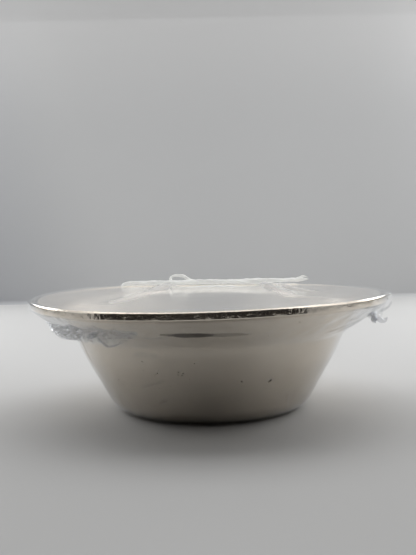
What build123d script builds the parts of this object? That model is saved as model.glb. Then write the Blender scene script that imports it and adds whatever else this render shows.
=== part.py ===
from build123d import *
import os
from math import cos, radians, sin, sqrt

# A pressed steel offering bowl with a broad brim and a hemmed rim, sealed in clear shrink film.
# Millimetres, +Z up. The origin is the middle of the base, on the surface that the bowl stands on.
# +X is to the right and +Y is away from a viewer in front of the bowl.

# Bowl: one sheet of steel, sized on its outer side
SHEET = 0.6
HEIGHT = 50.0
RIM_D = 156.0
FOOT_D = 83.4
SHOULDER_D = 131.6
BRIM_RISE = 4.0
FOOT_CORNER = 12.0
SHOULDER_FILLET = 5.0

# Base: a shallow panel pressed up, so that the bowl stands on a flat ring round it
PANEL_D = 44.0
PANEL_RISE = 0.8
PANEL_SLOPE = 3.0
PANEL_FILLET = 1.5

# Rim: the edge of the brim is turned down and tucked under, which makes a flat upright band
RIM_FLAT = 3.0
RIM_BAND = 3.3
RIM_TUCK = 4.0
RIM_BEND = 0.25
BRIM_BLEND = 3.0

# Shrink film, and its stand-off from the steel
FILM = 0.1
FILM_GAP = 0.2
COVER_LAP = 0.3
WEB_INSET = 0.5
WEB_DROP = 12.0
WEB_FILLET = 5.0
HEM_Z = 0.15

# Twist: the film's seam, shrunk to a flat rope that lies on the cover behind its middle
TWIST_Y = 44.0
TWIST_LENGTH = 96.0
TWIST_WIDTH = 8.0
TWIST_CROWN = 3.4
TWIST_STATIONS = (
    # shares of the length, from the middle, of the width and of the crown
    (-0.50, 0.50, 0.40),
    (-0.38, 0.75, 0.68),
    (-0.16, 1.12, 1.20),
    (0.02, 0.88, 0.88),
    (0.21, 1.00, 1.00),
    (0.36, 0.75, 0.75),
    (0.50, 0.50, 0.45),
)

# Ears: corners of the film bag, shrunk to crumpled leaves that hang under the brim
EAR_ROOT = 3.0
EAR_TIP = 1.5
LEFT_EAR_REACH = 5.6
LEFT_EAR_PLACE = 9.5
LEFT_EAR_STATIONS = (
    # azimuth from the front, share of the full leaf, droop below level
    (-25.0, 0.40, 80.0),
    (-35.0, 1.00, 84.0),
    (-46.0, 0.75, 88.0),
    (-58.0, 0.95, 76.0),
    (-72.0, 0.60, 55.0),
)
RIGHT_EAR_REACH = 10.4
RIGHT_EAR_PLACE = 11.5
RIGHT_EAR_STATIONS = (
    (74.0, 0.35, 60.0),
    (82.0, 0.80, 30.0),
    (90.0, 1.00, 18.0),
    (98.0, 0.45, 45.0),
)

# Places that several pieces share
RIM_R = RIM_D / 2
FOOT_R = FOOT_D / 2
SHOULDER_R = SHOULDER_D / 2
SHOULDER_Z = HEIGHT - BRIM_RISE
PANEL_R = PANEL_D / 2
RIM_UNDERSIDE = HEIGHT - RIM_BAND
BAND_MIDDLE = (RIM_R - SHEET, HEIGHT - RIM_BAND / 2)
COVER_TOP = HEIGHT + FILM_GAP + FILM
# The film folds over the rim in a bevel that keeps its gap from the rim's rounded edge
FOLD_BEVEL = (RIM_BEND + SHEET + FILM_GAP) * (2 - sqrt(2))


def film_wall_radius(z):
    """Radius of the film's inner side on the bowl's straight wall, at a height."""
    lean = Vector(SHOULDER_R - FOOT_R, SHOULDER_Z).normalized()
    return FOOT_R + lean.X / lean.Y * z + FILM_GAP / lean.Y


WEB_TOP = Vector(RIM_R - WEB_INSET, RIM_UNDERSIDE - FILM_GAP)
WEB_FOOT = Vector(film_wall_radius(SHOULDER_Z - WEB_DROP), SHOULDER_Z - WEB_DROP)

os.makedirs("parts", exist_ok=True)

# Bowl shell: base, wall, brim and hemmed rim from one sheet. The hem is drawn from the middle of the band,
# so that its tuck may come as close to the brim as the sizes put it.
with BuildPart() as bowl_shell:
    with BuildSketch(Plane.XZ):
        with BuildLine():
            FilletPolyline(
                (0, PANEL_RISE),
                (PANEL_R - PANEL_SLOPE, PANEL_RISE),
                (PANEL_R, 0),
                (FOOT_R, 0),
                (SHOULDER_R, SHOULDER_Z),
                (RIM_R - RIM_FLAT, HEIGHT - SHEET),
                (RIM_R - SHEET, HEIGHT - SHEET),
                BAND_MIDDLE,
                radius=[
                    PANEL_FILLET,
                    PANEL_FILLET,
                    FOOT_CORNER,
                    SHOULDER_FILLET,
                    BRIM_BLEND,
                    RIM_BEND,
                ],
            )
            offset(amount=SHEET, side=Side.LEFT)
        make_face()
        with BuildLine():
            FilletPolyline(
                BAND_MIDDLE,
                (RIM_R - SHEET, RIM_UNDERSIDE + SHEET),
                (RIM_R - RIM_TUCK, RIM_UNDERSIDE + SHEET),
                radius=RIM_BEND,
            )
            offset(amount=SHEET, side=Side.LEFT)
        make_face()
    revolve(axis=Axis.Z)
bowl_shell.part.label = "bowl_shell"
export_step(bowl_shell.part, "parts/bowl_shell.step")

# Film cover: the drum-tight film over the mouth, folded down round the rim band
with BuildPart() as film_cover:
    with BuildSketch(Plane.XZ):
        with BuildLine():
            Polyline(
                (0, HEIGHT + FILM_GAP),
                (RIM_R + FILM_GAP - FOLD_BEVEL, HEIGHT + FILM_GAP),
                (RIM_R + FILM_GAP, HEIGHT + FILM_GAP - FOLD_BEVEL),
                (RIM_R + FILM_GAP, RIM_UNDERSIDE - COVER_LAP),
            )
            offset(amount=FILM, side=Side.LEFT, kind=Kind.INTERSECTION)
        make_face()
    revolve(axis=Axis.Z)
film_cover.part.label = "film_cover"
export_step(film_cover.part, "parts/film_cover.step")

# Film wrap: the film below the rim, stretched across the hollow under the brim and shrunk onto the wall.
# Its hem is cut off level, just clear of the surface that the bowl stands on.
with BuildPart() as film_wrap:
    with BuildSketch(Plane.XZ):
        with BuildLine():
            FilletPolyline(
                (WEB_TOP.X, WEB_TOP.Y),
                (WEB_FOOT.X, WEB_FOOT.Y),
                (film_wall_radius(-FILM_GAP), -FILM_GAP),
                (0, -FILM_GAP),
                radius=[WEB_FILLET, FOOT_CORNER + FILM_GAP],
            )
            offset(amount=FILM, side=Side.LEFT)
        make_face()
    revolve(axis=Axis.Z)
    split(bisect_by=Plane.XY.offset(HEM_Z), keep=Keep.TOP)
film_wrap.part.label = "film_wrap"
export_step(film_wrap.part, "parts/film_wrap.step")

# Film twist: sections with a flat underside on the cover and a low crown
with BuildPart() as film_twist:
    for along, width_share, crown_share in TWIST_STATIONS:
        half_width = TWIST_WIDTH * width_share / 2
        near = (TWIST_Y - half_width, COVER_TOP)
        top = (TWIST_Y, COVER_TOP + TWIST_CROWN * crown_share)
        far = (TWIST_Y + half_width, COVER_TOP)
        with BuildSketch(Plane.YZ.offset(TWIST_LENGTH * along)):
            with BuildLine():
                ThreePointArc(near, top, far)
                Line(far, near)
            make_face()
    loft()
film_twist.part.label = "film_twist"
export_step(film_twist.part, "parts/film_twist.step")


def ear(stations, full_reach, place):
    """A leaf of crumpled film with its root along the web: one section in each station's upright plane."""
    down_web = (WEB_FOOT - WEB_TOP).normalized()
    outward = Vector(-down_web.Y, down_web.X)
    root = WEB_TOP + down_web * place + outward * (FILM + FILM_GAP)
    with BuildPart() as leaf:
        for azimuth, share, droop in stations:
            radial = Vector(sin(radians(azimuth)), -cos(radians(azimuth)), 0)
            upright = Plane(origin=(0, 0, 0), x_dir=radial, z_dir=radial.cross(Vector(0, 0, 1)))
            hang = Vector(cos(radians(droop)), -sin(radians(droop)))
            across = Vector(hang.Y, -hang.X)
            tip = root + hang * (full_reach * share)
            corners = (
                root - down_web * (EAR_ROOT * share / 2),
                root + down_web * (EAR_ROOT * share / 2),
                tip + across * (EAR_TIP * share / 2),
                tip - across * (EAR_TIP * share / 2),
            )
            with BuildSketch(upright):
                Polygon(*[(corner.X, corner.Y) for corner in corners], align=None)
        loft()
    return leaf.part


# Film ears: one under the brim at the front left, one at the right
film_ear_left = ear(LEFT_EAR_STATIONS, LEFT_EAR_REACH, LEFT_EAR_PLACE)
film_ear_left.label = "film_ear_left"
export_step(film_ear_left, "parts/film_ear_left.step")

film_ear_right = ear(RIGHT_EAR_STATIONS, RIGHT_EAR_REACH, RIGHT_EAR_PLACE)
film_ear_right.label = "film_ear_right"
export_step(film_ear_right, "parts/film_ear_right.step")
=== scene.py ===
"""Looks of the offering bowl: worn polished steel, and the clear shrink film that seals it.

Everything is in metres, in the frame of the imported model: +Z up, with the bowl's axis at X = Y = 0.
Azimuths are degrees from the front, which is -Y, and positive towards +X.
"""

import math

import bmesh
import bpy
import numpy as np
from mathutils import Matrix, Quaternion, Vector, noise


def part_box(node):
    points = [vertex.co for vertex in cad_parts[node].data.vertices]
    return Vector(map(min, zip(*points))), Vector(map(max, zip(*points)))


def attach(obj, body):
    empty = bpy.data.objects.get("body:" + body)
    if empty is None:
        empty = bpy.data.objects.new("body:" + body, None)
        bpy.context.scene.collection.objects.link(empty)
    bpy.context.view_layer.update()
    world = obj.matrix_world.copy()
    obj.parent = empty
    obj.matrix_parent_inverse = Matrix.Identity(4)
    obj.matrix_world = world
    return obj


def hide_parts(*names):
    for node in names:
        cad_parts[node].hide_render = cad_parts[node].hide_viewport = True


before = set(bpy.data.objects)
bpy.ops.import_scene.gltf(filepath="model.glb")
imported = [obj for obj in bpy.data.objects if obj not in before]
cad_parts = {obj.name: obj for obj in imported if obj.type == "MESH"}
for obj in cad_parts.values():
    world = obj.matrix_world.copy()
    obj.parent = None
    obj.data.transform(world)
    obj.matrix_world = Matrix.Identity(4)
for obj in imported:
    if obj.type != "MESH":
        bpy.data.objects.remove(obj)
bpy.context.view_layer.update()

MM = 0.001

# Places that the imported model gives
RIM_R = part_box("bowl_shell")[1].x
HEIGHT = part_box("bowl_shell")[1].z
COVER_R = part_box("film_cover")[1].x
COVER_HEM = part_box("film_cover")[0].z
COVER_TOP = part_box("film_cover")[1].z
WRAP_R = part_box("film_wrap")[1].x
WRAP_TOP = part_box("film_wrap")[1].z
TWIST_LOW, TWIST_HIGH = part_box("film_twist")
SEAM_Y = (TWIST_LOW.y + TWIST_HIGH.y) / 2

# Bowl sheet, as in the solid apart from the rim's bends, which are drawn tighter
SHEET = 0.6 * MM
FOOT_R = 41.7 * MM
SHOULDER_R = 65.8 * MM
BRIM_RISE = 4.0 * MM
SHOULDER_Z = HEIGHT - BRIM_RISE
FOOT_CORNER = 12.0 * MM
SHOULDER_FILLET = 5.0 * MM
PANEL_R = 22.0 * MM
PANEL_RISE = 0.8 * MM
PANEL_SLOPE = 3.0 * MM
PANEL_FILLET = 1.5 * MM
RIM_FLAT = 3.0 * MM
RIM_BAND = 3.3 * MM
RIM_TUCK = 4.0 * MM
RIM_BEND = 0.10 * MM
BRIM_BLEND = 3.0 * MM

# Film, drawn as one surface in the middle of its solids; its hem is cut a little higher
HALF_FILM = 0.05 * MM
FILM_GAP = 0.25 * MM
WEB_DROP = 12.0 * MM
WEB_FOOT_Z = SHOULDER_Z - WEB_DROP
WEB_FILLET = 5.0 * MM
HEM_Z = 0.2 * MM

# Camera, from the rim's ellipse and the outline of the wall
IMAGE_HEIGHT_PX = 555
FOCAL_PX = 789.0
SENSOR = 36.0
CAMERA_PLACE = (-0.0003, -0.352, 0.0788)
CAMERA_PITCH = math.radians(3.5)
CAMERA_ROLL = math.radians(1.2)


# Geometry


def rounded_path(corners, radii, run_step=1.5 * MM, arc_step=math.radians(6)):
    """Points along straight runs between corners that are rounded to the given radii."""
    corners = [np.array(corner, float) for corner in corners]
    points = [corners[0]]

    def run_to(end):
        start = points[-1]
        count = max(1, math.ceil(np.linalg.norm(end - start) / run_step))
        points.extend(start + (end - start) * k / count for k in range(1, count + 1))

    for before, corner, after, radius in zip(corners, corners[1:], corners[2:], radii):
        back = (before - corner) / np.linalg.norm(before - corner)
        ahead = (after - corner) / np.linalg.norm(after - corner)
        half_angle = math.acos(float(np.clip(back @ ahead, -1, 1))) / 2
        centre = corner + (back + ahead) / np.linalg.norm(back + ahead) * radius / math.sin(half_angle)
        first = corner + back * radius / math.tan(half_angle)
        last = corner + ahead * radius / math.tan(half_angle)
        run_to(first)
        start_angle = math.atan2(*(first - centre)[::-1])
        turn = math.atan2(*(last - centre)[::-1]) - start_angle
        turn = (turn + math.pi) % (2 * math.pi) - math.pi
        count = max(2, math.ceil(abs(turn) / arc_step))
        for k in range(1, count + 1):
            angle = start_angle + turn * k / count
            points.append(centre + radius * np.array([math.cos(angle), math.sin(angle)]))
    run_to(corners[-1])
    return np.array(points)


def left_side(path, distance):
    """The path moved to its left by a distance."""
    along = np.gradient(path, axis=0)
    along /= np.linalg.norm(along, axis=1)[:, None]
    return path + distance * np.stack([-along[:, 1], along[:, 0]], axis=1)


def smooth_line(points, count):
    """Points along a smooth curve through the given points."""
    points = np.array(points, float)
    ends = np.concatenate([[2 * points[0] - points[1]], points, [2 * points[-1] - points[-2]]])
    place = np.linspace(0, len(points) - 1, count)
    first = np.minimum(place.astype(int), len(points) - 2)
    t = (place - first)[:, None]
    a, b, c, d = (ends[first + k] for k in range(4))
    return b + 0.5 * t * (c - a + t * (2 * a - 5 * b + 4 * c - d + t * (3 * b - a - 3 * c + d)))


def round_about_axis(radius, height, azimuth):
    """Points of the frame at a radius, a height and an azimuth in radians."""
    return np.stack(
        np.broadcast_arrays(radius * np.sin(azimuth), -radius * np.cos(azimuth), height), axis=-1
    )


def stations(*places):
    """Points of the frame from (azimuth in degrees, radius in mm, height in mm)."""
    return [round_about_axis(r * MM, z * MM, math.radians(azimuth)) for azimuth, r, z in places]


# What brings the noise to about -1 to 1
NOISE_GAIN = 1.6
# Shares of a crumple's coarse and fine ridges, the depth between them, and what tells their noise apart
CREASE_SHARES = (0.6, 0.27, 0.13)
CREASE_DEPTH = 2.4
CREASE_SEED_STEP = 11.0


def noise_field(points, scale, seed=0.0):
    """Smooth noise, about -1 to 1, at points given in metres; scale is the size of a bump in metres."""
    flat = points.reshape(-1, points.shape[-1]) / scale
    values = [noise.noise(Vector((p[0], p[1], (p[2] if len(p) > 2 else 0.0) + seed))) for p in flat]
    return np.array(values).reshape(points.shape[:-1]) * NOISE_GAIN


def creases(points, scale, seed=0.0):
    """Sharp ridges between hollows, about -1 to 1, as in crumpled film."""
    total = np.zeros(points.shape[:-1])
    for octave, share in enumerate(CREASE_SHARES):
        hollows = np.abs(noise_field(points, scale / 2**octave, seed + CREASE_SEED_STEP * octave))
        total += share * (1 - CREASE_DEPTH * hollows)
    return total


def smooth_step(low, high, value):
    """From 0 at low to 1 at high, level at both."""
    share = np.clip((value - low) / (high - low), 0, 1)
    return share * share * (3 - 2 * share)


def hump(away, width):
    """From 1 in the middle to nothing far away, with a soft slope about as wide as the width."""
    return np.exp(-((away / width) ** 2))


def distance_to_line(points, line):
    """(distance, share of the line's length) of the nearest place on a line of points, in the plane."""
    best = np.full(points.shape[:-1], np.inf)
    share = np.zeros(points.shape[:-1])
    line = np.array(line, float)
    lengths = np.linalg.norm(np.diff(line, axis=0), axis=1)
    starts = np.concatenate([[0], np.cumsum(lengths)])
    for start, end, before, length in zip(line, line[1:], starts, lengths):
        t = np.clip(((points - start) @ (end - start)) / length**2, 0, 1)
        distance = np.linalg.norm(points - start - t[..., None] * (end - start), axis=-1)
        nearer = distance < best
        best = np.where(nearer, distance, best)
        share = np.where(nearer, (before + t * length) / starts[-1], share)
    return best, share


class Grid:
    """A grid of points that becomes quads, with the film's cloudiness or the steel's satin at each."""

    def __init__(self, points, close_rows=False, close_columns=False, cloud=0.0):
        self.points = points
        self.close_rows = close_rows
        self.close_columns = close_columns
        self.cloud = np.broadcast_to(cloud, points.shape[:2])

    def faces(self, first):
        rows, columns = self.points.shape[:2]
        for i in range(rows if self.close_rows else rows - 1):
            here = first + i * columns
            below = first + (i + 1) % rows * columns
            for j in range(columns if self.close_columns else columns - 1):
                right = (j + 1) % columns
                yield here + j, here + right, below + right, below + j


# The spun bowl isn't quite true: its rim is warped, higher at the front right and the back left
RIM_WARP = 0.55 * MM
WARP_HEIGHTS = (30 * MM, 46 * MM)


def warped(points):
    """Points of the bowl or its film, with the warp that grows from the wall to the rim."""
    x, y, z = points[..., 0], points[..., 1], points[..., 2]
    lift = RIM_WARP * smooth_step(*WARP_HEIGHTS, z) * -2 * x * y / RIM_R**2
    return np.stack([x, y, z + lift], axis=-1)


def mesh_object(name, *grids, sharp=None, warp=True):
    """One smooth mesh object of all the grids, with points merged where they coincide."""
    points, faces, cloud = [], [], []
    for grid in grids:
        faces.extend(grid.faces(len(points)))
        places = warped(grid.points) if warp else grid.points
        points.extend(places.reshape(-1, 3).tolist())
        cloud.extend(grid.cloud.reshape(-1).tolist())
    mesh = bpy.data.meshes.new(name)
    mesh.from_pydata(points, [], faces)
    mesh.attributes.new("cloud", "FLOAT", "POINT").data.foreach_set("value", cloud)
    work = bmesh.new()
    work.from_mesh(mesh)
    bmesh.ops.remove_doubles(work, verts=work.verts, dist=1e-7)
    work.to_mesh(mesh)
    work.free()
    mesh.shade_smooth()
    if sharp is not None:
        mesh.set_sharp_from_angle(angle=math.radians(sharp))
    piece = bpy.data.objects.new(name, mesh)
    bpy.context.scene.collection.objects.link(piece)
    return piece


def dress(piece, material, body, node):
    """Gives a piece its material, and puts it in the place of a node of the frame."""
    piece.data.materials.append(material)
    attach(piece, body)
    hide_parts(node)
    return piece


# Share of a veil, from the line it hangs from, over which its crumples set in
VEIL_SMOOTH = 0.35


def veil(first, last, columns, rows, depth, scale, seed, cloud=0.0):
    """A crumpled sheet between two smooth lines, smooth where it hangs from the first."""
    top = smooth_line(first, columns)
    low = smooth_line(last, columns)
    down = np.linspace(0, 1, rows)[:, None, None]
    points = top[None] * (1 - down) + low[None] * down
    slope, along = np.gradient(points, axis=(0, 1))
    normal = np.cross(along, slope)
    normal /= np.linalg.norm(normal, axis=-1)[..., None]
    folds = creases(points, scale, seed) * smooth_step(0, VEIL_SMOOTH, down[..., 0])
    return Grid(points + depth * folds[..., None] * normal, cloud=cloud)


# Folds that wind along a strand, as number and height in shares of its width, and the size of its bumps
STRAND_FOLDS = ((2, 0.14), (5, 0.07))
STRAND_GRAIN = 2.2 * MM


def strand(
    line, widths, across=(0, 0, 1), flat=1.0, turns=2.0, rough=0.12, count=150, sides=24, cloud=0.0
):
    """A round strand of shrunk film along a smooth line, drawn to a point where its width is nothing."""
    path = smooth_line(line, count)
    share = np.linspace(0, 1, count)
    size = np.interp(share, np.linspace(0, 1, len(widths)), widths)
    along = np.gradient(path, axis=0)
    along /= np.linalg.norm(along, axis=1)[:, None]
    side = np.cross(along, np.array(across, float))
    side /= np.linalg.norm(side, axis=1)[:, None]
    other = np.cross(side, along)
    turn = np.linspace(0, 2 * math.pi, sides, endpoint=False)
    spiral = turn[None, :] + 2 * math.pi * turns * share[:, None]
    folded = 1.0
    for folds, height in STRAND_FOLDS:
        folded = folded + height * np.cos(folds * spiral)
    reach = size[:, None] * folded
    sideways = flat * np.cos(turn)[None, :, None] * side[:, None]
    spokes = sideways + np.sin(turn)[None, :, None] * other[:, None]
    reach = reach * (1 + rough * noise_field(path[:, None] + reach[..., None] * spokes, STRAND_GRAIN))
    return Grid(path[:, None] + reach[..., None] * spokes, close_columns=True, cloud=cloud)


# Materials


class Shading:
    """A material's node tree, with short calls to add nodes and link them."""

    def __init__(self, name):
        self.material = bpy.data.materials.new(name)
        self.material.use_nodes = True
        self.tree = self.material.node_tree
        self.tree.nodes.clear()
        self.output = self.add("ShaderNodeOutputMaterial")

    def add(self, kind, inputs=None, **settings):
        made = self.tree.nodes.new(kind)
        for name, value in settings.items():
            setattr(made, name, value)
        for name, value in (inputs or {}).items():
            self.put(made.inputs[name], value)
        return made

    def put(self, socket, value):
        if isinstance(value, bpy.types.NodeSocket):
            self.tree.links.new(value, socket)
        else:
            socket.default_value = value

    def place(self):
        return self.add("ShaderNodeTexCoord").outputs["Object"]

    def cloud(self):
        return self.add("ShaderNodeAttribute", attribute_name="cloud").outputs["Fac"]

    def math(self, operation, *values):
        made = self.add("ShaderNodeMath", operation=operation)
        for socket, value in zip(made.inputs, values):
            self.put(socket, value)
        return made.outputs[0]

    def vector(self, operation, *values):
        made = self.add("ShaderNodeVectorMath", operation=operation)
        for socket, value in zip(made.inputs, values):
            self.put(socket, value)
        return made.outputs["Value" if operation in ("LENGTH", "DISTANCE") else "Vector"]

    def remap(self, value, low, high, to_low, to_high):
        made = self.add("ShaderNodeMapRange", interpolation_type="SMOOTHSTEP")
        for socket, number in zip(made.inputs, (value, low, high, to_low, to_high)):
            self.put(socket, number)
        return made.outputs[0]

    def noise(self, vector, scale, detail=3.0, roughness=0.55):
        settings = {"Vector": vector, "Scale": scale, "Detail": detail, "Roughness": roughness}
        return self.add("ShaderNodeTexNoise", settings).outputs["Fac"]

    def mix_colour(self, share, first, second):
        made = self.add("ShaderNodeMix", data_type="RGBA")
        self.put(made.inputs["Factor"], share)
        self.put(made.inputs["A"], first)
        self.put(made.inputs["B"], second)
        return made.outputs["Result"]

    def mix_shader(self, share, first, second):
        return self.add("ShaderNodeMixShader", {0: share, 1: first, 2: second}).outputs[0]

    def finish(self, shader):
        self.put(self.output.inputs["Surface"], shader)
        return self.material


STEEL_BRIGHT = (0.94, 0.86, 0.75, 1.0)
STEEL_DULL = (0.89, 0.80, 0.68, 1.0)
# Colour of the painted shade towards the foot
STEEL_FOOT_SHADE = (0.66, 0.59, 0.50, 1.0)
# Colour of stained spots and flecks, and of the painted dark reflections on the wall
STEEL_STAIN_AND_DARK_REFLECTION = (0.055, 0.045, 0.035, 1.0)
# Heights between which the painted shade towards the foot fades, and its strength at the lower one
FOOT_SHADE_FADE = (3 * MM, 27 * MM)
FOOT_SHADE_STRENGTH = 0.9
# Noise between which the dull colour sets in, its strength, and the part that grime has in it
DULL_NOISE = (0.3, 1.0)
DULL_STRENGTH = 0.8
DULL_GRIME = 0.25
# Noise between which a fleck sets in, and its strength
FLECK_NOISE = (0.74, 0.80)
FLECK_STRENGTH = 0.35
# Strength and depth of the turned lines, and of the dents in the band
LINE_BUMP = (0.10, 0.02 * MM)
DENT_BUMP = (0.7, 0.30 * MM)
# Fineness of the steel's marks, in bumps to a metre
TURNED_LINES = 3000.0
DULL_PATCHES = 60.0
GRIME = 420.0
FLECKS = 900.0
BAND_DENTS = 420.0
# Roughness of the polish, and what a stained spot or painted dark reflection adds to it
POLISH = 0.07
STAIN_ROUGHNESS = 0.3
# What a satin finish adds where it is bright and where it is dull, and the noise between which it changes
SATIN = (0.14, 0.195)
SATIN_NOISE = (0.3, 0.7)
# How satin the inside is, where the outside of the wall is 1
INSIDE_SATIN = 2.0
# The height above the shoulder at which the outside's satin has gone
SATIN_FADE = 1.0 * MM
WALL_MARKS = (
    # azimuth, height, size and strength of a stain on the wall
    (26.6, 19.3 * MM, 0.65 * MM, 1.0),
    (25.9, 18.9 * MM, 0.50 * MM, 0.9),
    (13.0, 20.0 * MM, 0.40 * MM, 0.9),
    (-13.0, 24.4 * MM, 0.50 * MM, 0.60),
    (-13.2, 23.4 * MM, 0.45 * MM, 0.50),
    (-11.2, 24.0 * MM, 0.45 * MM, 0.60),
    (-11.7, 23.2 * MM, 0.40 * MM, 0.50),
    (-22.2, 23.7 * MM, 0.40 * MM, 0.35),
    (35.0, 5.9 * MM, 0.40 * MM, 0.6),
)
# Painted dark reflections: streaks that stand in for the shade under the bowl mirrored in the wall
WALL_PAINTED_REFLECTIONS = (
    # sideways place, height, half length, half height and strength of a painted dark reflection, a streak
    # on the wall's front
    (-7.0 * MM, 39.7 * MM, 12.0 * MM, 1.05 * MM, 0.85),
    (4.0 * MM, 39.6 * MM, 12.0 * MM, 0.90 * MM, 0.45),
    (-16.0 * MM, 39.8 * MM, 3.5 * MM, 0.55 * MM, 0.5),
)
# Half depth of every painted dark reflection, from front to back
STREAK_DEPTH = 20 * MM
# Where a spot has faded out, in its own sizes
SPOT_END = 1.7
# How far grime frays a painted dark reflection, and where it fades, in shares of its half length and height
STREAK_FRAY = 0.5
STREAK_FADE = (0.85, 1.3)
WALL_SWELL = (
    # height, and how far the spun wall stands out from a straight line, in mm
    (0, 0),
    (8, 0),
    (15, 0.22),
    (22, 0.46),
    (26, 0.40),
    (31, 0.08),
    (36, -0.30),
    (41, -0.17),
    (46, 0),
    (50, 0),
)
SWELL_SAMPLES = 400


def wall_line(height):
    """Outer radius of the straight line between the bowl's foot and its shoulder."""
    return FOOT_R + (SHOULDER_R - FOOT_R) * height / SHOULDER_Z


def wall_swell(height):
    """How far the wall stands out from that line."""
    curve = smooth_line(WALL_SWELL, SWELL_SAMPLES) * MM
    return np.interp(height, curve[:, 0], curve[:, 1])


def wall_radius(height):
    """Outer radius of the bowl's wall."""
    return wall_line(height) + float(wall_swell(height))


def spots_and_painted_reflections(s, place, grime):
    """How strong each stained spot and each painted dark reflection of the wall is, with ragged edges."""
    for azimuth, z, size, strength in WALL_MARKS:
        centre = round_about_axis(wall_radius(z), z, math.radians(azimuth))
        away = s.vector("DISTANCE", place, tuple(centre))
        ragged = s.math("MULTIPLY_ADD", grime, size, away)
        yield s.remap(ragged, size, SPOT_END * size, strength, 0.0)
    # The streaks are painted dark reflections
    for x, z, length, tall, strength in WALL_PAINTED_REFLECTIONS:
        from_middle = s.vector("SUBTRACT", place, (x, -wall_radius(z), z))
        shares = s.vector("MULTIPLY", from_middle, (1 / length, 1 / STREAK_DEPTH, 1 / tall))
        ragged = s.math("MULTIPLY_ADD", grime, STREAK_FRAY, s.vector("LENGTH", shares))
        yield s.remap(ragged, *STREAK_FADE, strength, 0.0)


def steel():
    """Spun steel with a worn polish: fine turning lines, dull patches, flecks and a few stained spots, with
    painted shade towards the foot and painted dark reflections high on the wall's front.
    """
    s = Shading("steel_worn")
    place = s.place()
    satin = s.cloud()
    radius = s.vector("LENGTH", s.vector("MULTIPLY", place, (1, 1, 0)))
    height = s.add("ShaderNodeSeparateXYZ", {0: place}).outputs["Z"]
    turned = s.add("ShaderNodeCombineXYZ", {"X": radius, "Y": height}).outputs[0]
    lines = s.noise(turned, TURNED_LINES, detail=4.0, roughness=0.7)
    patches = s.noise(place, DULL_PATCHES, detail=4.0)
    grime = s.noise(place, GRIME, detail=2.0)
    grimy = s.math("MULTIPLY_ADD", grime, DULL_GRIME, patches)
    dull = s.remap(grimy, *DULL_NOISE, 0.0, DULL_STRENGTH)
    colour = s.mix_colour(dull, STEEL_BRIGHT, STEEL_DULL)
    # Painted shade: the wall is coloured darker towards the foot
    colour = s.mix_colour(s.remap(height, *FOOT_SHADE_FADE, FOOT_SHADE_STRENGTH, 0.0), colour, STEEL_FOOT_SHADE)
    marks = 0.0
    for mark in spots_and_painted_reflections(s, place, grime):
        marks = s.math("MAXIMUM", marks, mark)
    # The stained spots and painted dark reflections are on the outside only; fine flecks are all over
    marks = s.math("MULTIPLY", marks, s.math("LESS_THAN", satin, (1 + INSIDE_SATIN) / 2))
    flecks = s.remap(s.noise(place, FLECKS, detail=1.0), *FLECK_NOISE, 0.0, FLECK_STRENGTH)
    marks = s.math("MAXIMUM", marks, flecks)
    colour = s.mix_colour(marks, colour, STEEL_STAIN_AND_DARK_REFLECTION)
    rough = s.math("MULTIPLY_ADD", satin, s.remap(patches, *SATIN_NOISE, *SATIN), POLISH)
    rough = s.math("ADD", rough, s.math("MULTIPLY", marks, STAIN_ROUGHNESS))
    strength, depth = LINE_BUMP
    fine = s.add("ShaderNodeBump", {"Strength": strength, "Distance": depth, "Height": lines})
    on_band = s.math("GREATER_THAN", radius, RIM_R - 0.5 * SHEET)
    dents = s.math("MULTIPLY", on_band, s.noise(place, BAND_DENTS, detail=3.0))
    strength, depth = DENT_BUMP
    bump = s.add(
        "ShaderNodeBump",
        {"Strength": strength, "Distance": depth, "Height": dents, "Normal": fine.outputs[0]},
    )
    metal = s.add(
        "ShaderNodeBsdfPrincipled",
        {"Base Color": colour, "Metallic": 1.0, "Roughness": rough, "Normal": bump.outputs[0]},
    )
    return s.finish(metal.outputs[0])


FILM_CLEAR = (0.985, 0.987, 0.99, 1.0)
FILM_GLOSS = (0.94, 0.96, 0.985, 1.0)
# What one face of the film mirrors when it is seen square on
FACE_MIRROR = 0.04
# The cloudiness of crumpled film, and the part of its mirror that is left then
CRUMPLED_CLOUD = 0.6
CRUMPLED_MIRROR = 0.3
# Fineness of the mottle in bumps to a metre, the noise it runs between, and what it makes of the cloudiness
MOTTLE = 160.0
MOTTLE_NOISE = (0.3, 0.75)
MOTTLE_SHARE = (0.6, 1.4)
# The part of the milk that lets light through from behind
LIT_THROUGH = 0.4
# How far a soaked bundle's own shape counts against the light from above
SOAKED_SHAPE = (0.8, 0.8, 0.8)
# What keeps the depth of film finite for a ray that runs along it
LEAST_SLANT = 0.05

TIGHT_MILK = (0.86, 0.88, 0.91, 1.0)
ROPE_MILK = (0.80, 0.80, 0.77, 1.0)
ROPE_THROUGH = (0.46, 0.46, 0.45, 1.0)
CLINGING_MILK = (0.74, 0.76, 0.79, 1.0)
CRUMPLED_MILK = (0.76, 0.78, 0.83, 1.0)


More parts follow.
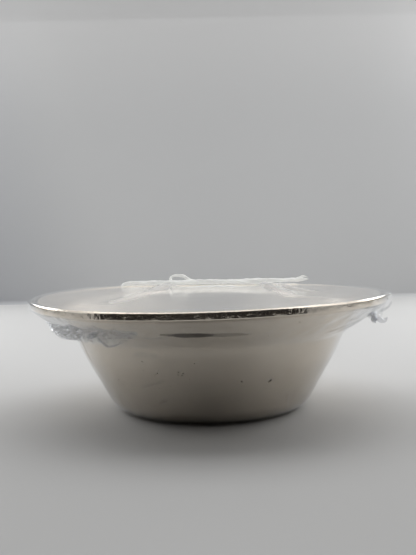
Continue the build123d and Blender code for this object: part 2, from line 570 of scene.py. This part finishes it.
def film(name, haze, milk_colour, gloss_roughness, layers=1, soaked=False, through_colour=None):
    """Layers of film as one surface: a mirror seen along it, and clear or cloudy looked through.

    In a soaked bundle the light from above spreads to all sides. The milk takes through_colour where it is
    lit from behind, or its own colour if there is none.
    """
    s = Shading(name)
    facing = s.add("ShaderNodeLayerWeight", {"Blend": 0.5}).outputs["Facing"]
    # What a face mirrors rises steeply where it is seen along
    one_face = s.math("MULTIPLY_ADD", s.math("POWER", facing, 5.0), 1 - FACE_MIRROR, FACE_MIRROR)
    all_faces = s.math("MULTIPLY", one_face, 2.0 * layers)
    mirror = s.math("DIVIDE", all_faces, s.math("ADD", s.math("SUBTRACT", all_faces, one_face), 1.0))
    cloud = s.cloud()
    # Clouded film is finely crumpled, which breaks up its mirror
    mirror = s.math("MULTIPLY", mirror, s.remap(cloud, 0.0, CRUMPLED_CLOUD, 1.0, CRUMPLED_MIRROR))
    mottle = s.remap(s.noise(s.place(), MOTTLE, detail=2.0), *MOTTLE_NOISE, *MOTTLE_SHARE)
    depth = s.math("MULTIPLY", mottle, s.math("ADD", cloud, haze))
    # A ray that runs along the film passes more of it
    depth = s.math("DIVIDE", depth, s.math("SUBTRACT", 1 + LEAST_SLANT, facing))
    share = s.math("DIVIDE", depth, s.math("ADD", depth, 1.0))
    front = s.add("ShaderNodeBsdfDiffuse", {"Color": milk_colour})
    through = s.add("ShaderNodeBsdfTranslucent", {"Color": through_colour or milk_colour})
    if soaked:
        true_normal = s.add("ShaderNodeNewGeometry").outputs["Normal"]
        for shader, up in ((front, 1), (through, -1)):
            turned = s.vector("MULTIPLY_ADD", true_normal, SOAKED_SHAPE, (0, 0, up))
            s.put(shader.inputs["Normal"], s.vector("NORMALIZE", turned))
        milk = s.add("ShaderNodeAddShader", {0: front.outputs[0], 1: through.outputs[0]}).outputs[0]
    else:
        milk = s.mix_shader(LIT_THROUGH, front.outputs[0], through.outputs[0])
    clear = s.add("ShaderNodeBsdfTransparent", {"Color": FILM_CLEAR})
    body = s.mix_shader(share, clear.outputs[0], milk)
    gloss = s.add(
        "ShaderNodeBsdfPrincipled",
        {"Base Color": FILM_GLOSS, "Metallic": 1.0, "Roughness": gloss_roughness},
    )
    return s.finish(s.mix_shader(mirror, body, gloss.outputs[0]))


# Bowl

BOWL_COLUMNS = 600
# How far the band of the hem wanders, the size of its waves and what tells their noise apart
BAND_WANDER = ((0.06 * MM, 14 * MM, 0.0), (0.03 * MM, 3 * MM, 7.0))
# The circle on which that noise is read, and the breadth of rim over which the wander sets in
BAND_WANDER_R = 40 * MM
BAND_WANDER_FADE = 6 * MM


def bowl_section():
    """The closed section of the bowl's sheet: out along its underside, and back along its top."""
    underside = rounded_path(
        [
            (0, PANEL_RISE),
            (PANEL_R - PANEL_SLOPE, PANEL_RISE),
            (PANEL_R, 0),
            (FOOT_R, 0),
            (SHOULDER_R, SHOULDER_Z),
            (RIM_R - RIM_FLAT, HEIGHT - SHEET),
            (RIM_R - SHEET, HEIGHT - SHEET),
            (RIM_R - SHEET, HEIGHT - RIM_BAND + SHEET),
            (RIM_R - RIM_TUCK, HEIGHT - RIM_BAND + SHEET),
        ],
        [PANEL_FILLET, PANEL_FILLET, FOOT_CORNER, SHOULDER_FILLET, BRIM_BLEND, RIM_BEND, RIM_BEND],
        run_step=1.0 * MM,
        arc_step=math.radians(5),
    )
    top = left_side(underside, SHEET)
    top[0, 0] = 0
    return np.concatenate([underside, top[::-1]])


def make_bowl():
    section = bowl_section()
    section[:, 0] += wall_swell(section[:, 1]) * (section[:, 0] > PANEL_R)
    azimuth = np.linspace(-math.pi, math.pi, BOWL_COLUMNS, endpoint=False)
    points = round_about_axis(section[:, None, 0], section[:, None, 1], azimuth[None, :])
    # The hem isn't quite true: the band wanders by a few hundredths of a millimetre
    round_rim = round_about_axis(BAND_WANDER_R, 0.0, azimuth)
    wander = sum(reach * noise_field(round_rim, size, seed) for reach, size, seed in BAND_WANDER)
    share = smooth_step(RIM_R - BAND_WANDER_FADE, RIM_R, section[:, 0])[:, None]
    outward = round_about_axis(1.0, 0.0, azimuth)
    points += (share * wander[None, :])[..., None] * outward[None]
    # The wall is satin outside and more so inside, and the rim is polished
    outside = np.arange(len(section)) < len(section) // 2
    satin_outside = smooth_step(SHOULDER_Z + SATIN_FADE, SHOULDER_Z, section[:, 1])
    satin_inside = INSIDE_SATIN * (section[:, 0] < RIM_R - RIM_FLAT)
    satin = np.where(outside, satin_outside, satin_inside)[:, None]
    bowl = mesh_object("bowl", Grid(points, close_rows=True, close_columns=True, cloud=satin), sharp=50)
    return dress(bowl, steel(), "bowl", "bowl_shell")


# Film over the mouth

COVER_FOLDS = (
    # height at the start and at the end, and half width, in mm; cloudiness; the crest from above, in mm
    (1.8, 0.3, 4.5, 0.55, ((-21, 42), (-24.6, 14), (-41.5, -50))),
    (2.0, 0.6, 3.0, 0.60, ((28, 42), (31, 14), (33.5, -28), (50, -36))),
    (1.4, 0.3, 2.4, 0.50, ((36, 43), (39, 20), (44, 2), (52, -6))),
    (0.7, 0.1, 3.0, 0.02, ((-44, 43), (-60, 30), (-70, 12))),
    (0.7, 0.1, 3.0, 0.02, ((46, 44), (60, 36), (68, 22))),
    (0.5, 0.1, 2.5, 0.02, ((6, 47), (10, 60), (13, 72))),
)
COVER_BULGES = (
    # where the film stands away from the rim: azimuth, width in degrees and distance
    (-79.0, 7.0, 0.9 * MM),
    (79.0, 5.0, 1.5 * MM),
    (-150.0, 9.0, 0.7 * MM),
    (128.0, 8.0, 0.6 * MM),
)
# Share of a fold's length over which its far end fades out
COVER_FOLD_FADE = 0.25
COVER_COLUMNS = 720
# Cloudiness all over, and the radius of the bend over the rim's edge
COVER_CLOUD = 0.015
COVER_BEND = 0.6 * MM
# The film rises like a tent to the seam and is cloudier there; both stop short of the rope's ends
SEAM_TENT = 1.1 * MM
SEAM_TENT_WIDTH = 3.0 * MM
SEAM_CLOUD = 0.05
SEAM_CLOUD_WIDTH = 4.0 * MM
SEAM_END = 5.0 * MM
# Waves of the tight film, near the rim and all over: height, size and what tells their noise apart
RIM_WAVES = ((0.03 * MM, 2.2 * MM, 0.0), (0.05 * MM, 6.0 * MM, 3.0))
WIDE_WAVE = (0.10 * MM, 26 * MM, 5.0)
# Radii between which the waves and streaks near the rim set in
NEAR_RIM = (0.45 * RIM_R, 0.95 * RIM_R)
# Cloudy streaks near the rim. They and the waves there are drawn out round it, as if a radian were so wide
STREAK_CLOUD = 0.02
STREAK_SIZE = 1.5 * MM
STREAK_RADIAN = 12 * MM
# The breadth beside the rim over which the film comes level with it
LEVEL_AT_RIM = 5 * MM
# Gathers round the band, as height and size, and the circle on which their noise is read
GATHERS = ((0.10 * MM, 2.5 * MM), (0.05 * MM, 0.9 * MM))
GATHERS_R = 60 * MM
# Crackle in patches: its height and size, the patches' size, and the noise between which they set in
CRACKLE = 0.35 * MM
CRACKLE_SIZE = 2.0 * MM
CRACKLE_PATCH = 7.0 * MM
CRACKLE_NOISE = (-0.2, 0.6)


def cover_relief(x, y):
    """How far the tight film over the mouth stands above its plane, and how cloudy it is."""
    flat = np.stack([x, y], axis=-1)
    radius = np.hypot(x, y)
    azimuth = np.arctan2(x, -y)
    seam = ((TWIST_LOW.x + SEAM_END, SEAM_Y), (TWIST_HIGH.x - SEAM_END, SEAM_Y))
    away, _ = distance_to_line(flat, seam)
    height = SEAM_TENT * hump(away, SEAM_TENT_WIDTH)
    cloud = COVER_CLOUD + SEAM_CLOUD * hump(away, SEAM_CLOUD_WIDTH)
    for start, end, width, cloudy, crest in COVER_FOLDS:
        away, share = distance_to_line(flat, np.array(crest) * MM)
        fading = smooth_step(1.0, 1 - COVER_FOLD_FADE, share) * hump(away, width * MM)
        height = np.maximum(height, (start + (end - start) * share) * MM * fading)
        cloud = np.maximum(cloud, cloudy * fading)
    streaks = np.stack([radius, azimuth * STREAK_RADIAN], axis=-1)
    near_rim = smooth_step(*NEAR_RIM, radius)
    for reach, size, seed in RIM_WAVES:
        height = height + near_rim * reach * noise_field(streaks, size, seed)
    reach, size, seed = WIDE_WAVE
    height = height + reach * noise_field(flat, size, seed)
    streaked = np.maximum(noise_field(streaks, STREAK_SIZE, seed=9.0), 0)
    cloud = cloud + near_rim * STREAK_CLOUD * streaked
    return height * smooth_step(RIM_R, RIM_R - LEVEL_AT_RIM, radius), cloud


def make_cover(material):
    plane = COVER_TOP - HALF_FILM
    edge_r = COVER_R - HALF_FILM
    profile = rounded_path(
        [(0, plane), (edge_r, plane), (edge_r, COVER_HEM)],
        [COVER_BEND],
        run_step=0.6 * MM,
        arc_step=math.radians(10),
    )
    level = profile[:, 1]
    azimuth = np.linspace(-math.pi, math.pi, COVER_COLUMNS, endpoint=False)
    points = round_about_axis(profile[:, None, 0], profile[:, None, 1], azimuth[None, :])
    height, cloud = cover_relief(points[..., 0], points[..., 1])
    on_top = (level > plane - 0.01 * MM)[:, None]
    points[..., 2] += height * on_top
    # Below the bend the film is gathered a little round the band, and in a few places it stands away
    below = smooth_step(plane - 0.2 * COVER_BEND, COVER_HEM, level)[:, None]
    round_rim = round_about_axis(GATHERS_R, 0.0, azimuth)
    gather = sum(reach * np.abs(noise_field(round_rim, size)) for reach, size in GATHERS)
    crackled = smooth_step(*CRACKLE_NOISE, noise_field(round_rim, CRACKLE_PATCH, seed=13.0))
    crackle = crackled[None, :] * creases(points, CRACKLE_SIZE, seed=17.0)
    stand_off = below * (gather[None, :] + CRACKLE * np.maximum(crackle, 0))
    bulging = smooth_step(plane, plane - 0.8 * COVER_BEND, level)
    bulging = bulging * smooth_step(COVER_HEM - 1.5 * MM, plane - COVER_BEND, level)
    for middle, width, distance in COVER_BULGES:
        stand_off = stand_off + bulging[:, None] * distance * hump(np.degrees(azimuth) - middle, width)
    points += stand_off[..., None] * round_about_axis(1.0, 0.0, azimuth)[None]
    cover = mesh_object("film_over_mouth", Grid(points, close_columns=True, cloud=cloud * on_top))
    return dress(cover, material, "cover", "film_cover")


# Twist: the seam, shrunk to a rope


def seam_points(*places):
    """Points beside the seam: along it, towards the back from it, and above the film, in mm."""
    return [(x * MM, SEAM_Y + back * MM, COVER_TOP + up * MM) for x, back, up in places]


def make_twist(material):
    rope = strand(
        seam_points(
            (-44.0, -1.5, 0.2), (-42.6, -0.8, 1.2), (-39, 0, 2.0), (-31, 0.3, 2.0), (-24, 0.2, 1.9),
            (-14, 0, 2.0), (-4, -0.3, 2.2), (8, -0.2, 2.2), (20, 0, 2.1), (30, 0.3, 2.3),
            (40, 0.2, 2.5), (47, 0, 2.8), (50.5, 0, 2.9),
        ),
        np.array([0, 0.75, 0.95, 0.9, 1.0, 1.15, 1.1, 1.1, 1.15, 1.3, 1.15, 0.95, 0.75, 0]) * MM,
        flat=1.25, turns=2.5, count=260,
    )
    curl = strand(
        seam_points(
            (-18.6, 1.0, 2.4), (-19.2, 1.4, 3.6), (-18.4, 1.6, 4.9), (-15.6, 1.6, 5.4),
            (-13.0, 1.4, 5.1), (-11.2, 1.0, 4.3), (-9.4, 0.6, 3.2), (-6.0, 0, 2.4),
        ),
        np.array([0.5, 0.7, 0.6, 0.6, 0.75, 0.8, 0.7, 0.3]) * MM,
        across=(0, 1, 0), turns=1.0, count=120,
    )
    sprig = strand(
        seam_points((42, 0.2, 2.4), (45, 0.3, 3.4), (47.5, 0.2, 4.3), (50.2, 0, 3.7)),
        np.array([0.5, 0.6, 0.45, 0]) * MM,
        turns=1.0, count=60,
    )
    ridge = strand(
        seam_points((-12, -7.2, 0), (-5, -6.4, 0.2), (2, -6.0, 0.3), (11, -6.4, 0.2), (19, -7.2, 0)),
        np.array([0, 0.3, 0.4, 0.35, 0]) * MM,
        flat=2.0, turns=0.5, count=90,
    )
    twist = mesh_object("film_seam_rope", rope, curl, sprig, ridge)
    # Light soaks through the rope, so it throws no shadow of its own
    twist.visible_shadow = False
    return dress(twist, material, "cover", "film_twist")


# Film below the rim

WRAP_FOLDS = (
    # height, half width, cloudiness, and the crest's points as (azimuth in degrees, height in mm)
    (0.22 * MM, 0.9 * MM, 0.10, ((-32, 30.9), (-26, 31.5), (-19, 30.6))),
    (0.20 * MM, 0.4 * MM, 0.12, ((-33.6, 16.3), (-26, 18.6), (-18.5, 20.8))),
    (0.20 * MM, 0.4 * MM, 0.12, ((-26.5, 9.7), (-20.9, 11.9))),
    (0.30 * MM, 0.5 * MM, 0.04, ((39.5, 13.3), (42, 8), (44, 2.4))),
    (0.60 * MM, 0.9 * MM, 0.10, ((42, 37.0), (53, 39.3), (64, 41.0), (75, 41.8))),
    (0.50 * MM, 0.8 * MM, 0.08, ((50, 36.0), (61, 38.8), (73, 40.6))),
    (0.50 * MM, 0.9 * MM, 0.10, ((-27, 40.5), (-18, 40.0), (-11, 40.8))),
    (0.40 * MM, 0.8 * MM, 0.08, ((-62, 36.5), (-64, 30), (-63, 22))),
    (0.40 * MM, 0.8 * MM, 0.08, ((-72, 39.0), (-80, 37.5), (-90, 38.5))),
    (0.40 * MM, 0.8 * MM, 0.08, ((98, 40.5), (106, 38.0), (113, 37.0))),
)
# Share of a fold's length over which each of its ends fades out
WRAP_FOLD_FADE = 0.2
WRAP_COLUMNS = 900
# Radius at which the film is rolled out, to lay the folds on it
ROLL_R = 62.4 * MM
# Where the web is clouded by the crumpled corners: azimuth, width in degrees and cloudiness
WEB_CLOUDS = ((-48.0, 24.0, 0.10), (-82.0, 16.0, 0.14), (84.0, 16.0, 0.14))
# Ripples of the film: long streaks down the wall, and wider waves, which both grow on the web
STREAK_RIPPLE = 0.05 * MM
STREAK_RIPPLE_SIZE = 5 * MM
STREAK_STRETCH = (1.0, 1.0, 0.35)
WAVE_RIPPLE = 0.03 * MM
WAVE_RIPPLE_SIZE = 9 * MM
WEB_GROWTH = 3
# From above to below the web's foot, the film comes to follow the swell of the wall
CLING_ABOVE = 1.0 * MM
CLING_BELOW = 3.0 * MM
# From below to above it, the web's ripples and clouds set in
WEB_BELOW = 2.5 * MM
WEB_ABOVE = 5.5 * MM


def wrap_path():
    """The film's run from under the rim, down the web and the wall, to its hem."""
    lean = math.atan2(SHOULDER_R - FOOT_R, SHOULDER_Z)
    stand_off = FILM_GAP / math.cos(lean)
    path = rounded_path(
        [
            (WRAP_R, WRAP_TOP),
            (wall_line(WEB_FOOT_Z) + stand_off, WEB_FOOT_Z),
            (wall_line(-FILM_GAP) + stand_off, -FILM_GAP),
            (0, -FILM_GAP),
        ],
        [WEB_FILLET, FOOT_CORNER + FILM_GAP],
        run_step=0.5 * MM,
        arc_step=math.radians(4),
    )
    path = path[path[:, 1] > HEM_Z]
    on_wall = smooth_step(WEB_FOOT_Z + CLING_ABOVE, WEB_FOOT_Z - CLING_BELOW, path[:, 1])
    path[:, 0] += wall_swell(path[:, 1]) * on_wall
    return path


def make_wrap(material):
    path = wrap_path()
    outward = left_side(path, 1.0) - path
    azimuth = np.linspace(-math.pi, math.pi, WRAP_COLUMNS, endpoint=False)
    points = round_about_axis(path[:, None, 0], path[:, None, 1], azimuth[None, :])
    normal = round_about_axis(outward[:, None, 0], outward[:, None, 1], azimuth[None, :])
    streaks = points * np.array(STREAK_STRETCH)
    ripple = STREAK_RIPPLE * (1 + noise_field(streaks, STREAK_RIPPLE_SIZE))
    ripple = ripple + WAVE_RIPPLE * (1 + noise_field(points, WAVE_RIPPLE_SIZE, seed=4.0))
    on_web = smooth_step(WEB_FOOT_Z - WEB_BELOW, WEB_FOOT_Z + WEB_ABOVE, path[:, 1])[:, None]
    ripple = ripple * (1 + WEB_GROWTH * on_web)
    cloud = np.zeros(points.shape[:2])
    for middle, width, cloudy in WEB_CLOUDS:
        cloud += on_web * cloudy * hump(np.degrees(azimuth) - middle, width)[None, :]
    rolled_out = np.stack(
        np.broadcast_arrays(azimuth[None, :] * ROLL_R, path[:, None, 1]), axis=-1
    )
    for height, width, cloudy, line in WRAP_FOLDS:
        crest = [(math.radians(turn) * ROLL_R, z * MM) for turn, z in line]
        away, share = distance_to_line(rolled_out, crest)
        fading = hump(away, width) * smooth_step(0, WRAP_FOLD_FADE, share)
        fading = fading * smooth_step(1, 1 - WRAP_FOLD_FADE, share)
        ripple = np.maximum(ripple, height * fading)
        cloud = np.maximum(cloud, cloudy * fading)
    points += ripple[..., None] * normal
    wrap = mesh_object("film_on_wall", Grid(points, close_columns=True, cloud=cloud))
    return dress(wrap, material, "bowl", "film_wrap")


# Ears: corners of the film bag, crumpled under the brim


def make_left_ear(material):
    root = stations(
        (-22, 71.0, 42.2), (-34, 72.2, 43.0), (-48, 72.2, 43.0), (-60, 72.0, 42.8), (-75, 71.5, 42.2),
    )
    hem = stations(
        (-23.5, 66.8, 39.8), (-29, 67.9, 37.3), (-32.5, 68.4, 35.8), (-35, 68.6, 35.9),
        (-39.5, 68.8, 38.8), (-45, 68.8, 37.6), (-52, 68.8, 36.6), (-61, 69.4, 36.8),
        (-68, 70.2, 38.9), (-74, 71.0, 41.2),
    )
    inner = stations(
        (-25, 67.0, 40.2), (-31, 68.5, 38.6), (-38, 69.6, 36.8), (-46, 69.8, 36.9),
        (-56, 69.8, 37.6), (-66, 70.2, 39.4), (-72, 70.6, 41.0),
    )
    rows = 80
    growing = np.linspace(0.01, 0.06, rows)[:, None]
    outer = veil(
        root, hem, columns=400, rows=rows, depth=1.0 * MM, scale=2.2 * MM, seed=1.0, cloud=growing
    )
    behind = veil(
        root, inner, columns=360, rows=rows, depth=1.0 * MM, scale=1.6 * MM, seed=23.0, cloud=growing
    )
    flap = strand(
        stations(
            (-38.5, 69.4, 40.0), (-36.8, 69.3, 38.0), (-34.6, 69.2, 35.9), (-32, 68.9, 35.9),
            (-28, 68.2, 37.7),
        ),
        np.array([0, 0.30, 0.36, 0.32, 0]) * MM,
        flat=1.3, turns=1.0, rough=0.35, count=90, sides=14, cloud=0.12,
    )
    rolled = strand(
        stations(
            (-45, 69.2, 37.6), (-54, 69.4, 36.6), (-62, 69.9, 37.0), (-69, 70.6, 39.2),
            (-74.5, 71.2, 41.4),
        ),
        np.array([0, 0.30, 0.42, 0.38, 0]) * MM,
        flat=1.3, turns=2.0, rough=0.5, count=110, sides=14, cloud=0.08,
    )
    second = strand(
        stations((-56, 70.2, 38.4), (-62, 70.6, 38.6), (-68, 71.0, 40.0), (-74, 71.4, 41.8)),
        np.array([0, 0.25, 0.30, 0]) * MM,
        flat=1.3, turns=2.0, rough=0.5, count=80, sides=12, cloud=0.06,
    )
    knot = strand(
        stations((-37, 70.2, 41.4), (-38.5, 70.4, 40.2), (-40.5, 70.3, 39.2), (-41.5, 70.2, 37.8)),
        np.array([0, 0.8, 1.0, 0]) * MM,
        flat=1.6, turns=1.0, rough=0.6, count=60, sides=20, cloud=0.22,
    )
    ear = mesh_object("film_ear_left_crumple", outer, behind, flap, rolled, second, knot)
    return dress(ear, material, "bowl", "film_ear_left")


def make_right_ear(material):
    root = stations(
        (70, 71.4, 42.4), (78, 72.2, 43.0), (86, 72.2, 43.0), (94, 71.8, 42.8), (100, 71.2, 42.2),
    )
    hem = stations(
        (71, 70.2, 41.0), (74, 70.8, 39.4), (77, 71.8, 37.6), (79, 72.6, 36.7), (82, 73.4, 37.0),
        (86, 73.2, 38.6), (91, 72.2, 39.4), (96, 71.2, 40.6), (99, 70.8, 41.4),
    )
    inner = [point + np.array([0, 0, 1.2 * MM]) for point in hem]
    rows = 56
    growing = np.linspace(0.03, 0.12, rows)[:, None]
    clump = veil(
        root, hem, columns=220, rows=rows, depth=1.0 * MM, scale=2.0 * MM, seed=41.0, cloud=growing
    )
    behind = veil(
        root, inner, columns=200, rows=rows, depth=1.0 * MM, scale=1.6 * MM, seed=57.0, cloud=growing
    )
    knot = strand(
        stations((75.5, 71.6, 41.0), (76.5, 72.0, 39.8), (77.5, 72.4, 38.6), (78.5, 73.0, 37.6)),
        np.array([0, 0.9, 1.0, 0]) * MM,
        across=(0, 1, 0), flat=1.4, turns=1.0, rough=0.6, count=60, sides=20, cloud=0.35,
    )
    hook = strand(
        stations(
            (77, 72.6, 39.6), (78, 73.6, 38.6), (79, 75.0, 37.9), (80, 76.4, 37.9),
            (80.5, 77.5, 38.6), (80.5, 77.8, 39.4),
        ),
        np.array([0.2, 0.55, 0.6, 0.55, 0.4, 0]) * MM,
        across=(0, 1, 0), flat=1.4, turns=1.5, rough=0.5, count=110, sides=18, cloud=0.2,
    )
    hanging_rows = 90
    hanging = veil(
        stations((76, 73.6, 46.0), (78, 75.4, 46.1), (80, 77.2, 46.2)),
        stations((76.5, 71.8, 39.4), (78.5, 73.6, 38.8), (80, 75.6, 38.6)),
        columns=60, rows=hanging_rows, depth=0.5 * MM, scale=2.0 * MM, seed=71.0,
        cloud=np.linspace(0.03, 0.12, hanging_rows)[:, None],
    )
    loop = strand(
        stations(
            (79, 79.4, 46.1), (79.5, 79.2, 44.9), (80, 78.3, 43.6), (80, 76.8, 42.6), (80, 74.8, 41.6),
        ),
        np.array([0.15, 0.2, 0.2, 0.25, 0.15]) * MM,
        across=(0, 1, 0), flat=2.0, turns=0.5, rough=0.3, count=80, sides=14, cloud=0.05,
    )
    ear = mesh_object("film_ear_right_crumple", clump, behind, knot, hook, hanging, loop)
    return dress(ear, material, "bowl", "film_ear_right")


# Stage

FLOOR_COLOUR = (0.62, 0.62, 0.615, 1.0)
FLOOR_ROUGHNESS = 0.8
STAGE_REACH = 2.5

BACKDROP_COLOUR = (0.645, 0.65, 0.655, 1.0)
# Painted light at the top, and painted shade at the sides and in the lower left corner
BACKDROP_LIT_TOP_COLOUR = (0.77, 0.77, 0.77, 1.0)
BACKDROP_SHADED_SIDE_COLOUR = (0.58, 0.585, 0.59, 1.0)
BACKDROP_SHADED_CORNER_COLOUR = (0.44, 0.45, 0.47, 1.0)
BACKDROP_ROUGHNESS = 0.9
BACKDROP_Y = 0.52
BACKDROP_TOP = 1.2
BACKDROP_FOOT = 0.5 * MM
COVE = 4 * MM
# Where the backdrop's painted light and shade fade: painted light upwards, painted shade to both sides and
# to the lower left along a slant
FADE_UP = (0.18, 0.36)
FADE_ASIDE = (0.05, 0.25)
FADE_CORNER = (-0.27, -0.08)
CORNER_SLANT = 0.3

CARD_COLOUR = (0.008, 0.006, 0.005, 1.0)
CARD_ROUGHNESS = 0.9
CARD_R = 0.30
CARD_SPAN = (-70, 58)
CARD_MIDDLE = -0.0175
CARD_TOP = 0.5
CARD_COLUMNS = 40
# Where the card fades at its sides, how ragged it is there, and the fineness of that in bumps to a metre
CARD_EDGE = (0.273, 0.293)
CARD_RAGGED = 0.07
CARD_RAGS = 30.0

PANELS = (
    # name, place, width and height in metres, and power in watts; each faces the bowl
    ("top", (0.0, 0.12, 0.55), (0.80, 0.40), 1.66),
    ("back", (0.0, 0.50, 0.34), (1.20, 0.30), 0.6),
    ("back_left", (-0.42, 0.42, 0.25), (0.60, 0.20), 1.55),
    ("back_right", (0.42, 0.42, 0.25), (0.60, 0.20), 1.35),
    ("left", (-0.50, 0.14, 0.36), (0.90, 0.66), 0.76),
    ("right", (0.50, 0.14, 0.36), (0.90, 0.66), 1.3),
)
PANELS_AIM = Vector((0.0, 0.0, 0.02))
WORLD_COLOUR = (0.42, 0.425, 0.43, 1.0)
WORLD_LIGHT = 0.01


def floor_pale():
    s = Shading("floor_pale")
    made = s.add("ShaderNodeBsdfPrincipled", {"Base Color": FLOOR_COLOUR, "Roughness": FLOOR_ROUGHNESS})
    return s.finish(made.outputs[0])


def backdrop_grey():
    """A grey with painted light above and painted shade at the sides and lower left, and clear when it is
    seen from behind.
    """
    s = Shading("backdrop_grey")
    place = s.add("ShaderNodeSeparateXYZ", {0: s.place()})
    high = s.remap(place.outputs["Z"], *FADE_UP, 0.0, 1.0)
    aside = s.remap(s.math("ABSOLUTE", place.outputs["X"]), *FADE_ASIDE, 0.0, 1.0)
    from_corner = s.math("MULTIPLY_ADD", place.outputs["Z"], CORNER_SLANT, place.outputs["X"])
    # Painted shade at the sides, painted light above, and painted shade towards the lower left
    colour = s.mix_colour(aside, BACKDROP_COLOUR, BACKDROP_SHADED_SIDE_COLOUR)
    colour = s.mix_colour(high, colour, BACKDROP_LIT_TOP_COLOUR)
    colour = s.mix_colour(s.remap(from_corner, *FADE_CORNER, 1.0, 0.0), colour, BACKDROP_SHADED_CORNER_COLOUR)
    front = s.add("ShaderNodeBsdfPrincipled", {"Base Color": colour, "Roughness": BACKDROP_ROUGHNESS})
    behind = s.add("ShaderNodeBsdfTransparent")
    seen_from_behind = s.add("ShaderNodeNewGeometry").outputs["Backfacing"]
    return s.finish(s.mix_shader(seen_from_behind, front.outputs[0], behind.outputs[0]))


def card_dark():
    """Near black, with ragged sides."""
    s = Shading("card_dark")
    place = s.place()
    x = s.add("ShaderNodeSeparateXYZ", {0: place}).outputs["X"]
    sideways = s.math("ABSOLUTE", s.math("SUBTRACT", x, CARD_MIDDLE))
    ragged = s.math("MULTIPLY_ADD", s.noise(place, CARD_RAGS, detail=3.0), CARD_RAGGED, sideways)
    dark = s.add("ShaderNodeBsdfPrincipled", {"Base Color": CARD_COLOUR, "Roughness": CARD_ROUGHNESS})
    gone = s.add("ShaderNodeBsdfTransparent")
    return s.finish(s.mix_shader(s.remap(ragged, *CARD_EDGE, 0.0, 1.0), dark.outputs[0], gone.outputs[0]))


def make_stage():
    """A pale floor, a grey backdrop that rises from it, and a dark card in front for reflections only."""
    wide = np.array([-STAGE_REACH, STAGE_REACH])
    corners = [[(x, y, 0.0) for x in wide] for y in wide]
    floor = mesh_object("floor", Grid(np.array(corners)), warp=False)
    floor.data.materials.append(floor_pale())
    rise = rounded_path(
        [(BACKDROP_Y - 2 * COVE, BACKDROP_FOOT), (BACKDROP_Y, BACKDROP_FOOT), (BACKDROP_Y, BACKDROP_TOP)],
        [COVE],
        run_step=1.0,
    )
    sweep = np.stack(np.broadcast_arrays(wide[None, :], rise[:, None, 0], rise[:, None, 1]), axis=-1)
    backdrop = mesh_object("backdrop", Grid(sweep), warp=False)
    backdrop.data.materials.append(backdrop_grey())
    azimuth = np.radians(np.linspace(*CARD_SPAN, CARD_COLUMNS))
    upright = round_about_axis(CARD_R, np.array([[0.0], [CARD_TOP]]), azimuth[None, :])
    card = mesh_object("dark_card", Grid(upright), warp=False)
    card.data.materials.append(card_dark())
    card.visible_camera = False
    card.visible_shadow = False
    card.visible_diffuse = False


def make_lights():
    """Soft panels round the bowl, and a pale world that is seen and mirrored but gives little light."""
    for name, place, (width, height), power in PANELS:
        light = bpy.data.lights.new(name, "AREA")
        light.shape = "RECTANGLE"
        light.size = width
        light.size_y = height
        light.energy = power
        lamp = bpy.data.objects.new(name, light)
        lamp.location = place
        lamp.rotation_euler = (PANELS_AIM - Vector(place)).to_track_quat("-Z", "Y").to_euler()
        lamp.visible_camera = False
        bpy.context.scene.collection.objects.link(lamp)
    world = bpy.data.worlds.new("studio")
    world.use_nodes = True
    tree = world.node_tree
    ground = tree.nodes["Background"]
    ground.inputs["Color"].default_value = WORLD_COLOUR
    rays = tree.nodes.new("ShaderNodeLightPath")
    seen = rays.outputs["Is Camera Ray"]
    for kind in ("Is Glossy Ray", "Is Transmission Ray"):
        either = tree.nodes.new("ShaderNodeMath")
        either.operation = "MAXIMUM"
        tree.links.new(seen, either.inputs[0])
        tree.links.new(rays.outputs[kind], either.inputs[1])
        seen = either.outputs[0]
    strength = tree.nodes.new("ShaderNodeMapRange")
    strength.inputs["To Min"].default_value = WORLD_LIGHT
    tree.links.new(seen, strength.inputs["Value"])
    tree.links.new(strength.outputs[0], ground.inputs["Strength"])
    bpy.context.scene.world = world


def make_camera():
    camera = bpy.data.cameras.new("camera")
    camera.sensor_width = SENSOR
    camera.lens = FOCAL_PX / IMAGE_HEIGHT_PX * SENSOR
    camera.clip_start = 0.01
    holder = bpy.data.objects.new("camera", camera)
    holder.location = CAMERA_PLACE
    look = Vector((0, math.cos(CAMERA_PITCH), -math.sin(CAMERA_PITCH))).to_track_quat("-Z", "Y")
    holder.rotation_euler = (look @ Quaternion((0, 0, 1), -CAMERA_ROLL)).to_euler()
    bpy.context.scene.collection.objects.link(holder)
    bpy.context.scene.camera = holder


bpy.context.scene.view_settings.view_transform = "Standard"
make_camera()
make_lights()
make_stage()
make_bowl()
tight = film("film_tight", haze=0.004, milk_colour=TIGHT_MILK, gloss_roughness=0.12)
soaked_rope = film(
    "film_rope",
    haze=5.0,
    milk_colour=ROPE_MILK,
    gloss_roughness=0.3,
    soaked=True,
    through_colour=ROPE_THROUGH,
)
clinging = film("film_clinging", haze=0.008, milk_colour=CLINGING_MILK, gloss_roughness=0.04)
crumpled = film("film_crumpled", haze=0.012, milk_colour=CRUMPLED_MILK, gloss_roughness=0.06, layers=2)
cover = make_cover(tight)
twist = make_twist(soaked_rope)
wrap = make_wrap(clinging)
left_ear = make_left_ear(crumpled)
right_ear = make_right_ear(crumpled)
